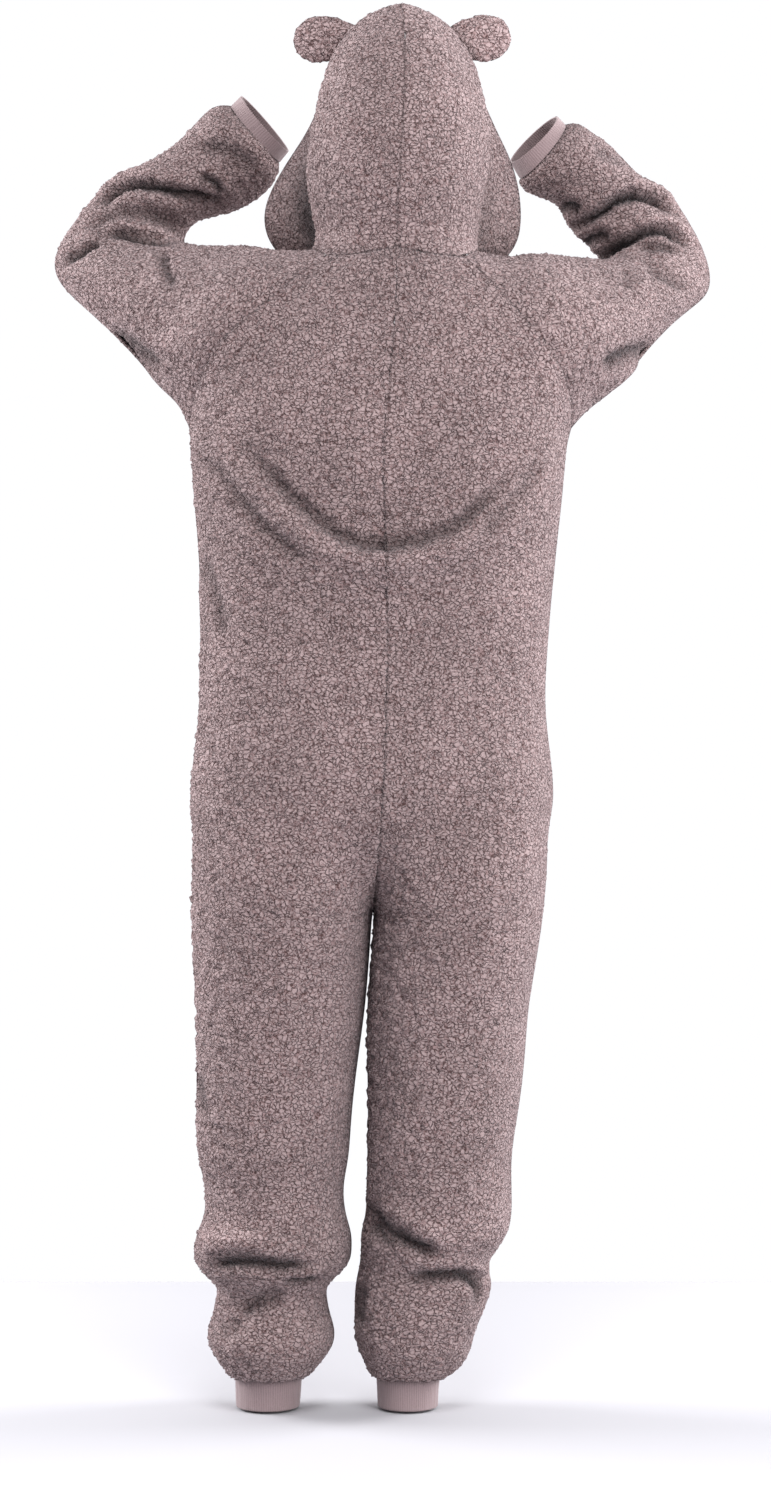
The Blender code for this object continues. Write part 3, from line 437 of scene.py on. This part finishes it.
metalLook = {
    "colour": (0.42, 0.38, 0.385, 1),
    "worn": (0.62, 0.60, 0.60, 1),
    "stops": (0.4, 0.75),
    "wear": 260.0,
    "rough": (0.25, 0.5),
}


def metalMaterial(name):
    look = metalLook
    material, tree, shader = newMaterial(name)
    place = addNode(tree, "TexCoord", "Object")
    wear = noiseOf(tree, "Fac", place, look["wear"], 5.0)
    colour = rampOf(tree, wear, *zip(look["stops"], (look["colour"], look["worn"])))
    smooth, rough = look["rough"]
    inputs = {"To Min": smooth, "To Max": rough, "Value": wear}
    roughness = addNode(tree, "MapRange", "Result", inputs)
    feed(tree, shader, {"Base Color": colour, "Roughness": roughness, "Metallic": 1.0})
    return material


fleece = fleeceMaterial("fleece")
rib = ribMaterial("ribKnit")
tape = tapeMaterial("zipTape")
metal = metalMaterial("zipMetal")
print("stage: materials")


def dress(piece, material):
    piece.data.materials.clear()
    piece.data.materials.append(material)
    piece.data.polygons.foreach_set("material_index", np.zeros(len(piece.data.polygons), int))
    piece.data.shade_smooth()
    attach(piece, "garment")


# Each fold: points in X and Z (mm), depth and half width (mm), how far the cloth above it bulges
# (below it where negative), and how dark the shade painted into its groove is.
folds = {
    "body": [
        (((173, -219), (148, -248), (121, -279), (92, -305), (63, -326), (35, -338), (6, -340),
          (-34, -335), (-69, -323), (-98, -300), (-121, -276), (-144, -253)),
         7, 9.5, -1, 0.62),
        (((219, -236), (196, -259), (173, -288), (144, -323), (115, -346), (92, -363)),
         4.5, 9, -0.6, 0.45),
        (((-178, -236), (-150, -279), (-124, -306), (-99, -334)), 4, 9, -0.6, 0.4),
        (((218, -348), (213, -372), (204, -395), (196, -424), (192, -448)), 4.5, 7.5, 0, 0.4),
        (((76, 24), (84, 5), (52, -2), (-12, -3), (-75, -2), (-116, 0), (-146, 5)), 0.6, 8, 0, 0.2),
        (((224, -952), (222, -978), (218, -1003)), 3.5, 6.5, 0, 0.55),
        (((149, -1137), (117, -1142), (79, -1144)), 3, 12, 0.5, 0.25),
        (((215, -1177), (204, -1172), (189, -1168), (169, -1165), (149, -1166),
          (128, -1170), (105, -1171), (82, -1173)),
         10.5, 10, 1, 1.0),
        (((121, -1193), (105, -1192), (77, -1191)), 6.5, 5.5, 0.8, 1.0),
        (((175, -1233), (163, -1220), (149, -1212), (134, -1209), (119, -1209)), 5, 9.5, 0.3, 0.55),
        (((200, -1258), (186, -1251), (174, -1237)), 4, 10, 0.5, 0.3),
        (((28, -1109), (14, -1121), (0, -1130), (-17, -1141), (-35, -1150), (-59, -1161)),
         11, 9, 1, 1.0),
        (((26, -1126), (12, -1137), (-7, -1150)), 5, 8, 0.5, 0.8),
        (((-15, -1190), (-35, -1185), (-58, -1184), (-79, -1184), (-93, -1189),
          (-102, -1198), (-105, -1212), (-100, -1225)),
         7.5, 6.5, 0.8, 0.95),
        (((32, -1199), (36, -1222), (38, -1251)), 4, 6.5, 0, 0.65),
    ],
    "sleeve_left": [
        (((363, 92), (349, 97), (338, 106), (326, 113), (310, 115), (290, 112),
          (270, 106), (249, 102), (231, 100), (213, 95), (201, 96)),
         10, 6.2, 0.8, 1.0),
        (((233, 119), (221, 118), (211, 112), (205, 102)), 6, 5, 0.5, 1.0),
        (((375, 62), (351, 74), (327, 79), (297, 77), (272, 71), (252, 61)), 5, 9, 0.6, 0.45),
        (((353, 52), (332, 55), (314, 50), (296, 45), (278, 41), (262, 38)), 7.5, 6, 0.8, 0.95),
        (((399, 21), (385, 27), (369, 36), (351, 45)), 6.5, 6.5, 0.6, 0.85),
        (((274, 24), (271, 12), (268, -2), (261, -16), (252, -31)), 5.5, 7, 0, 0.65),
        (((338, -69), (318, -85), (294, -104), (268, -125)), 6, 8, 0.5, 0.7),
        (((238, 162), (206, 154), (184, 145), (157, 128)), 4.5, 10, 0.5, 0.45),
    ],
    "sleeve_right": [
        (((-214, 64), (-231, 70), (-246, 74), (-259, 81), (-270, 90), (-283, 97),
          (-298, 102), (-314, 101), (-329, 96), (-339, 89), (-350, 80)),
         10, 6.2, 0.8, 1.0),
        (((-208, 92), (-221, 90), (-236, 86)), 6, 5.5, 0.6, 1.0),
        (((-251, 25), (-260, 32), (-275, 41), (-289, 48), (-307, 55),
          (-325, 59), (-340, 58), (-354, 51), (-368, 40)),
         10, 6.2, 0.8, 1.0),
        (((-222, 45), (-242, 51), (-259, 55), (-274, 54)), 6, 5.5, 0.6, 0.9),
        (((-300, 39), (-321, 38), (-337, 40), (-354, 33)), 5.5, 7, 0.6, 0.6),
        (((-305, 13), (-325, 0), (-344, -10), (-364, -16)), 5.5, 9, 0.6, 0.5),
        (((-280, 4), (-282, -12), (-278, -29)), 3.5, 7, 0, 0.3),
        (((-318, -87), (-300, -99), (-282, -106), (-264, -116), (-249, -128)), 7, 7, -0.8, 0.85),
        (((-246, 157), (-268, 150), (-290, 146)), 4, 9, 0.5, 0.4),
    ],
}


# Distance of each point from a line in X and Z, its height above the nearest place on it, and
# the share of the line that lies before that place.
def awayFromLine(points, line):
    best = np.full(len(points), np.inf)
    share = np.zeros(len(points))
    above = np.zeros(len(points))
    for index, (a, b) in enumerate(zip(line, line[1:])):
        step = b - a
        t = np.clip((points - a) @ step / (step @ step), 0, 1)
        offset = points - a - t[:, None] * step
        away = np.linalg.norm(offset, axis=1)
        closer = away < best
        best[closer] = away[closer]
        share[closer] = (index + t[closer]) / (len(line) - 1)
        above[closer] = offset[closer, 1]
    return best, above, share


foldShape = {
    "groove": 1.35,  # how deep the groove is, in depths of the fold
    "lip": 0.25,  # how high the cloth stands beside it, in depths
    "bulge": 0.3,  # and how much more on the side that bulges
    "lipAway": 2.3,  # in half widths of the fold, like the next
    "lipWidth": 1.3,
    "ends": 5,  # how fast a fold grows from its ends
    "endsLeast": 0.1,
    "seamHalf": 0.02,
    # crestLight: how much lighter the lip on the bulging side is painted, a painted highlight
    "crestLight": 0.2,
    "rear": (2.5, 0.35),  # how the folds fade to the front: slope and offset
    "rearShade": (3, 1),
}
millimetre = 0.001


# Presses folds into the back of a piece and returns the painted shade at each point. The shade is
# dark along the grooves and negative, a painted highlight, on the lip where the cloth bulges.
def folded(piece, lines):
    shape = foldShape
    points = pointsOf(piece)
    outwards = outwardsOf(piece)
    # Both halves move alike at the centre seam.
    outwards[:, 0] *= np.clip(np.abs(points[:, 0]) / shape["seamHalf"], 0, 1)
    flat = points[:, [0, 2]] / millimetre
    raised = np.zeros(len(points))
    paintedShade = np.zeros(len(points))
    paintedCrestLight = np.zeros(len(points))
    for line, depth, halfWidth, bulge, shade in lines:
        away, above, share = awayFromLine(flat, np.array(line, float))
        fade = np.clip(np.minimum(share, 1 - share) * shape["ends"] + shape["endsLeast"], 0, 1)
        upper = above / np.maximum(away, 1)
        groove = np.exp(-((away / halfWidth) ** 2))
        lip = np.exp(-(((away / halfWidth - shape["lipAway"]) / shape["lipWidth"]) ** 2))
        rise = lip * (shape["lip"] + shape["bulge"] * bulge * upper) - groove
        raised += shape["groove"] * depth * rise * fade
        # Shade is painted along the groove, and the lip on the bulging side is painted lighter as a
        # highlight.
        paintedShade = np.maximum(paintedShade, groove * shade * fade)
        paintedCrestLight = np.maximum(paintedCrestLight, lip * np.clip(bulge * upper, 0, 1) * shade * fade)
    slope, offset = shape["rear"]
    rear = np.clip(outwards[:, 1] * slope + offset, 0, 1)
    movePoints(piece, points + (millimetre * raised * rear)[:, None] * outwards)
    slope, offset = shape["rearShade"]
    return (paintedShade - shape["crestLight"] * paintedCrestLight) * np.clip(outwards[:, 1] * slope + offset, 0, 1)


pile = {
    "depth": 0.003,
    "middle": 0.45,
    "size": 0.008,
    "stray": 0.0016,
    "strayShare": 0.3,  # of the distance to the next point, at most
    "strayOut": 1.2,
    "seamDepth": 0.0018,
    "seamWidth": 0.0036,
    "seamShade": 0.2,
    "seamReach": 2.5,  # in seam widths
    "overlap": 0.0005,
    "earLight": 0.3,
    "pullEnd": 0.003,
    "pullSteps": 12,
    "weightSteps": 10,
}
pileLumps = bpy.data.textures.new("pile", "VORONOI")
pileLumps.noise_scale = pile["size"]
pull = pointsOf(bpy.data.objects["zip_pull"])
pullTop = pull[pull[:, 2] > pull[:, 2].max() - pile["pullEnd"]].mean(0)
pullLow = pull[pull[:, 2] < pull[:, 2].min() + pile["pullEnd"]].mean(0)
pullLine = np.linspace(pullTop, pullLow, pile["pullSteps"])


# Moves the cloth's narrow edges out a little, so that neighbours meet in the seam.
def seamsClosed(piece):
    mesh = piece.data
    moves = np.zeros((len(mesh.vertices), 3))
    for face in mesh.polygons:
        if face.material_index == edgeMark:
            for index in face.vertices:
                moves[index] += face.normal
    moves /= np.maximum(np.linalg.norm(moves, axis=1), tiny)[:, None]
    movePoints(piece, pointsOf(piece) + moves * pile["overlap"])


# The mean length of the edges at each point.
def spacing(piece):
    ends = np.empty(len(piece.data.edges) * 2, int)
    piece.data.edges.foreach_get("vertices", ends)
    ends = ends.reshape(-1, 2)
    points = pointsOf(piece)
    lengths = np.linalg.norm(points[ends[:, 0]] - points[ends[:, 1]], axis=1)
    total = np.bincount(ends.ravel(), np.repeat(lengths, 2), len(points))
    return total / np.maximum(np.bincount(ends.ravel(), minlength=len(points)), 1)


# Sinks the cloth a little at the seams and under the pull tab, paints shade into its colour there,
# and raises the pile elsewhere.
def pileOn(piece, paintedShade):
    rims = onFaces(piece, edgeMark)
    points = pointsOf(piece)
    limit = pile["seamWidth"] * pile["seamReach"]
    away = nearest(points, np.vstack([points[rims], pullLine]), limit)
    sunk = np.exp(-((away / pile["seamWidth"]) ** 2))
    sunk[away >= limit] = 0
    inwards = -pointsOf(piece, "normal") * (~rims)[:, None]
    movePoints(piece, points + inwards * (sunk * pile["seamDepth"])[:, None])
    seamShade = np.maximum(paintedShade, sunk * pile["seamShade"])
    setAttribute(piece, "paintedShade", np.where(sunk > 0, seamShade, paintedShade))
    group = piece.vertex_groups.new(name="pile")
    steps = pile["weightSteps"]
    weights = np.round(np.clip(1 - sunk, 0, 1) * steps)
    for step in range(steps + 1):
        group.add(np.nonzero(weights == step)[0].tolist(), step / steps, "REPLACE")
    lumps = piece.modifiers.new("pile", "DISPLACE")
    lumps.texture = pileLumps
    lumps.texture_coords = "LOCAL"
    lumps.direction = "NORMAL"
    lumps.mid_level = pile["middle"]
    lumps.strength = -pile["depth"]
    lumps.vertex_group = "pile"
    applyAll(piece)
    piece.vertex_groups.clear()
    strays = np.random.default_rng(len(points)).uniform(-1, 1, (len(points), 3))
    strays += pile["strayOut"] * strays[:, :1] * pointsOf(piece, "normal")
    reach = np.minimum(pile["stray"], pile["strayShare"] * spacing(piece)) * (1 - sunk)
    movePoints(piece, pointsOf(piece) + reach[:, None] * strays)


hem = {"low": -1.308, "reach": 0.012, "down": 0.005, "out": 0.0035}


# Hangs the legs' lower edges a little over the cuffs.
def hemmed(piece):
    points = pointsOf(piece)
    outwards = pointsOf(piece, "normal")
    share = np.exp(-(((points[:, 2] - hem["low"]) / hem["reach"]) ** 2)) * onFaces(piece, outerMark)
    level = outwards * (1, 1, 0)
    level /= np.maximum(np.linalg.norm(level, axis=1), tiny)[:, None]
    points += share[:, None] * (hem["out"] * level - hem["down"] * np.array((0, 0, 1)))
    movePoints(piece, points)


hoodGrooveShade = {
    "y": -0.06,
    "width": 0.024,
    "left": 1.0,
    "right": 0.3,
    "top": 0.2,
    "fade": 0.14,
    "least": 0.3,
}


# How dark the shade painted into the groove behind the hood's front rim is at each point: darker on
# the left (+X) side and towards the neck.
def hoodShade(points):
    away = (points[:, 1] - hoodGrooveShade["y"]) / hoodGrooveShade["width"]
    low = np.clip((hoodGrooveShade["top"] - points[:, 2]) / hoodGrooveShade["fade"], hoodGrooveShade["least"], 1)
    shade = np.where(points[:, 0] > 0, hoodGrooveShade["left"], hoodGrooveShade["right"])
    return shade * low * np.exp(-(away**2))


subdivisions = {"cloth": 3, "ear": 2}


def fleecePiece(name, node, lines=()):
    piece = copyOf(node, name)
    markFaces(piece)
    subdivided(piece, subdivisions["ear" if "ear" in name else "cloth"])
    edgesPlain(piece)
    seamsClosed(piece)
    paintedShade = folded(piece, lines)
    hemmed(piece)
    if "hood" in name:
        paintedShade = np.maximum(paintedShade, hoodShade(pointsOf(piece)))
    # The ears' fleece colour is made evenly lighter than the rest of the fleece.
    if "ear" in name:
        paintedShade -= pile["earLight"]
    pileOn(piece, paintedShade)
    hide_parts(node)
    dress(piece, fleece)
    return piece


flatSizes = {
    "back": ((0.38, 1.36), 0.37),
    "front": ((0.37, 1.33), 0.34),
    "sleeve": ((0.56, 0.72), 0.22),
    "hood": ((0.34, 0.40), 0.09),
}
for side in sides:
    for part, (flat, area) in flatSizes.items():
        lines = folds["body"] + folds[f"sleeve_{side}"] if part == "sleeve" else folds["body"]
        piece = fleecePiece(f"fleece_{part}_{side}", f"{part}_{side}", lines)
    for half in ("back", "front"):
        piece = fleecePiece(f"fleece_ear_{half}_{side}", f"ear_{half}_{side}")
    print("stage: fleece", side)

cuff = {
    "ribs": 84,
    "ribDepth": 0.0003,
    "shadow": 0.009,
    "shade": 0.5,
    "least": 0.14,
    "wrist": (0.26, 0.024),
    "ankle": (0.255, 0.041),
}


def cuffPiece(part, side):
    name, node = f"rib_{part}_{side}", f"{part}_cuff_{side}"
    piece = copyOf(node, name)
    markFaces(piece)
    subdivided(piece, subdivisions["cloth"])
    edgesPlain(piece)
    points = pointsOf(piece)
    ring = points - points.mean(0)
    axes = np.linalg.svd(ring[onFaces(piece, outerMark)], full_matrices=False)[2]
    lengths = [np.ptp(ring @ axis) for axis in axes]
    along = int(np.argmin(lengths))
    first, second = [index for index in range(3) if index != along]
    angle = np.arctan2(ring @ axes[first] / lengths[first], ring @ axes[second] / lengths[second])
    around = angle / (2 * math.pi) * cuff["ribs"]
    ribs = np.cos(around * 2 * math.pi) * ~onFaces(piece, edgeMark)
    movePoints(piece, points + pointsOf(piece, "normal") * (ribs * cuff["ribDepth"])[:, None])
    setAttribute(piece, "around", around)
    # A shadow is painted along the top of each ankle cuff, under the fleece hem; every cuff's
    # colour is also made evenly darker.
    below = points[:, 2].max() - points[:, 2]
    shadow = cuff["shade"] * np.exp(-((below / cuff["shadow"]) ** 2)) * (part == "ankle")
    setAttribute(piece, "paintedShade", cuff["least"] + shadow)
    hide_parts(node)
    dress(piece, rib)


for side in sides:
    for part in ("wrist", "ankle"):
        cuffPiece(part, side)
print("stage: cuffs")

plainParts = {"zip_tape_left": tape, "zip_tape_right": tape, "zip_slider": metal, "zip_pull": metal}
for node, material in plainParts.items():
    materials = bpy.data.objects[node].data.materials
    materials.clear()
    materials.append(material)

teeth = {
    "pitch": 0.0026,
    "size": (0.0042, 0.0022, 0.0014),
    "past": 0.0004,
    "ends": 0.002,
    "rowGap": 0.005,
    "rowLeast": 4,
}
for side, way in (("left", 1), ("right", -1)):
    tapePoints = pointsOf(bpy.data.objects[f"zip_tape_{side}"])
    tapePoints = tapePoints[np.argsort(tapePoints[:, 2])]
    gaps = np.nonzero(np.diff(tapePoints[:, 2]) > teeth["rowGap"])[0] + 1
    rows = [row for row in np.split(tapePoints, gaps) if len(row) >= teeth["rowLeast"]]
    edge = np.array([row[np.argsort(row[:, 0] * way)[:2]].mean(0) for row in rows])
    steps = np.linalg.norm(np.diff(edge, axis=0), axis=1)
    along = np.concatenate([[0], np.cumsum(steps)])
    start = teeth["ends"] + (teeth["pitch"] / 2 if way > 0 else 0)
    places = np.arange(start, along[-1] - teeth["ends"], teeth["pitch"])
    centres = np.stack([np.interp(places, along, edge[:, axis]) for axis in range(3)], axis=1)
    centres[:, 0] -= way * teeth["past"]
    deselectAll()
    bpy.ops.mesh.primitive_cube_add(size=1, location=(0, 0, 0))
    chain = bpy.context.object
    chain.name = f"zip_teeth_{side}"
    bpy.ops.object.mode_set(mode="EDIT")
    bpy.ops.transform.resize(value=teeth["size"])
    bpy.ops.transform.translate(value=centres[0])
    for step in np.diff(centres, axis=0):
        bpy.ops.mesh.duplicate_move(TRANSFORM_OT_translate={"value": step})
    bpy.ops.object.mode_set(mode="OBJECT")
    chain.data.materials.append(metal)
    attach(chain, "garment")
print("stage: zip")

studio = {
    "floor": -1.352,
    "far": -0.9,
    "near": 4.2,
    "halfWidth": 3.0,
    "floorColour": (0.47, 0.465, 0.495, 1),
}
middle = (0, (studio["near"] + studio["far"]) / 2, studio["floor"])
bpy.ops.mesh.primitive_plane_add(size=2, location=middle)
floor = bpy.context.object
floor.name = "floor"
floor.scale = (studio["halfWidth"], (studio["near"] - studio["far"]) / 2, 1)
bpy.ops.object.transform_apply(location=True, rotation=True, scale=True)
paper, tree, shader = newMaterial("paleFloor")
feed(tree, shader, {"Base Color": studio["floorColour"], "Roughness": 0.8})
floor.data.materials.append(paper)

# The surround is bright behind the garment and dimmer everywhere else, by the Y of the way to it.
surround = {
    "bright": (1.0, 1.0, 1.02, 1),
    "dim": (0.5, 0.5, 0.52, 1),
    "brightFrom": -0.55,
    "dimFrom": 0.15,
}
world = bpy.data.worlds.new("studio")
world.use_nodes = True
tree = world.node_tree
parts = addNode(tree, "SeparateXYZ", "Y", {"Vector": addNode(tree, "TexCoord", "Generated")})
inputs = {"From Min": surround["dimFrom"], "From Max": surround["brightFrom"], "Value": parts}
behind = addNode(tree, "MapRange", "Result", inputs)
inputs = {"Color1": surround["dim"], "Color2": surround["bright"], "Fac": behind}
feed(tree, tree.nodes["Background"], {"Color": addNode(tree, "MixRGB", "Color", inputs)})
bpy.context.scene.world = world

aimAt = Vector((0, 0, -0.5))
lamps = [
    ("keyLamp", (0.0, 2.5, 2.6), 1.6, 102),
    ("fillLamp", (-2.2, 3.1, 0.0), 2.2, 92),
    ("sideLampLeft", (3.0, -0.8, 0.4), 1.6, 150),
    ("sideLampRight", (-3.0, -0.8, 0.6), 1.6, 130),
]
for name, place, size, power in lamps:
    bpy.ops.object.light_add(type="AREA", location=place)
    lamp = bpy.context.object
    lamp.name = name
    lamp.data.size = size
    lamp.data.energy = power
    lamp.rotation_euler = (aimAt - Vector(place)).to_track_quat("-Z", "Y").to_euler()
print("stage: floor and light")
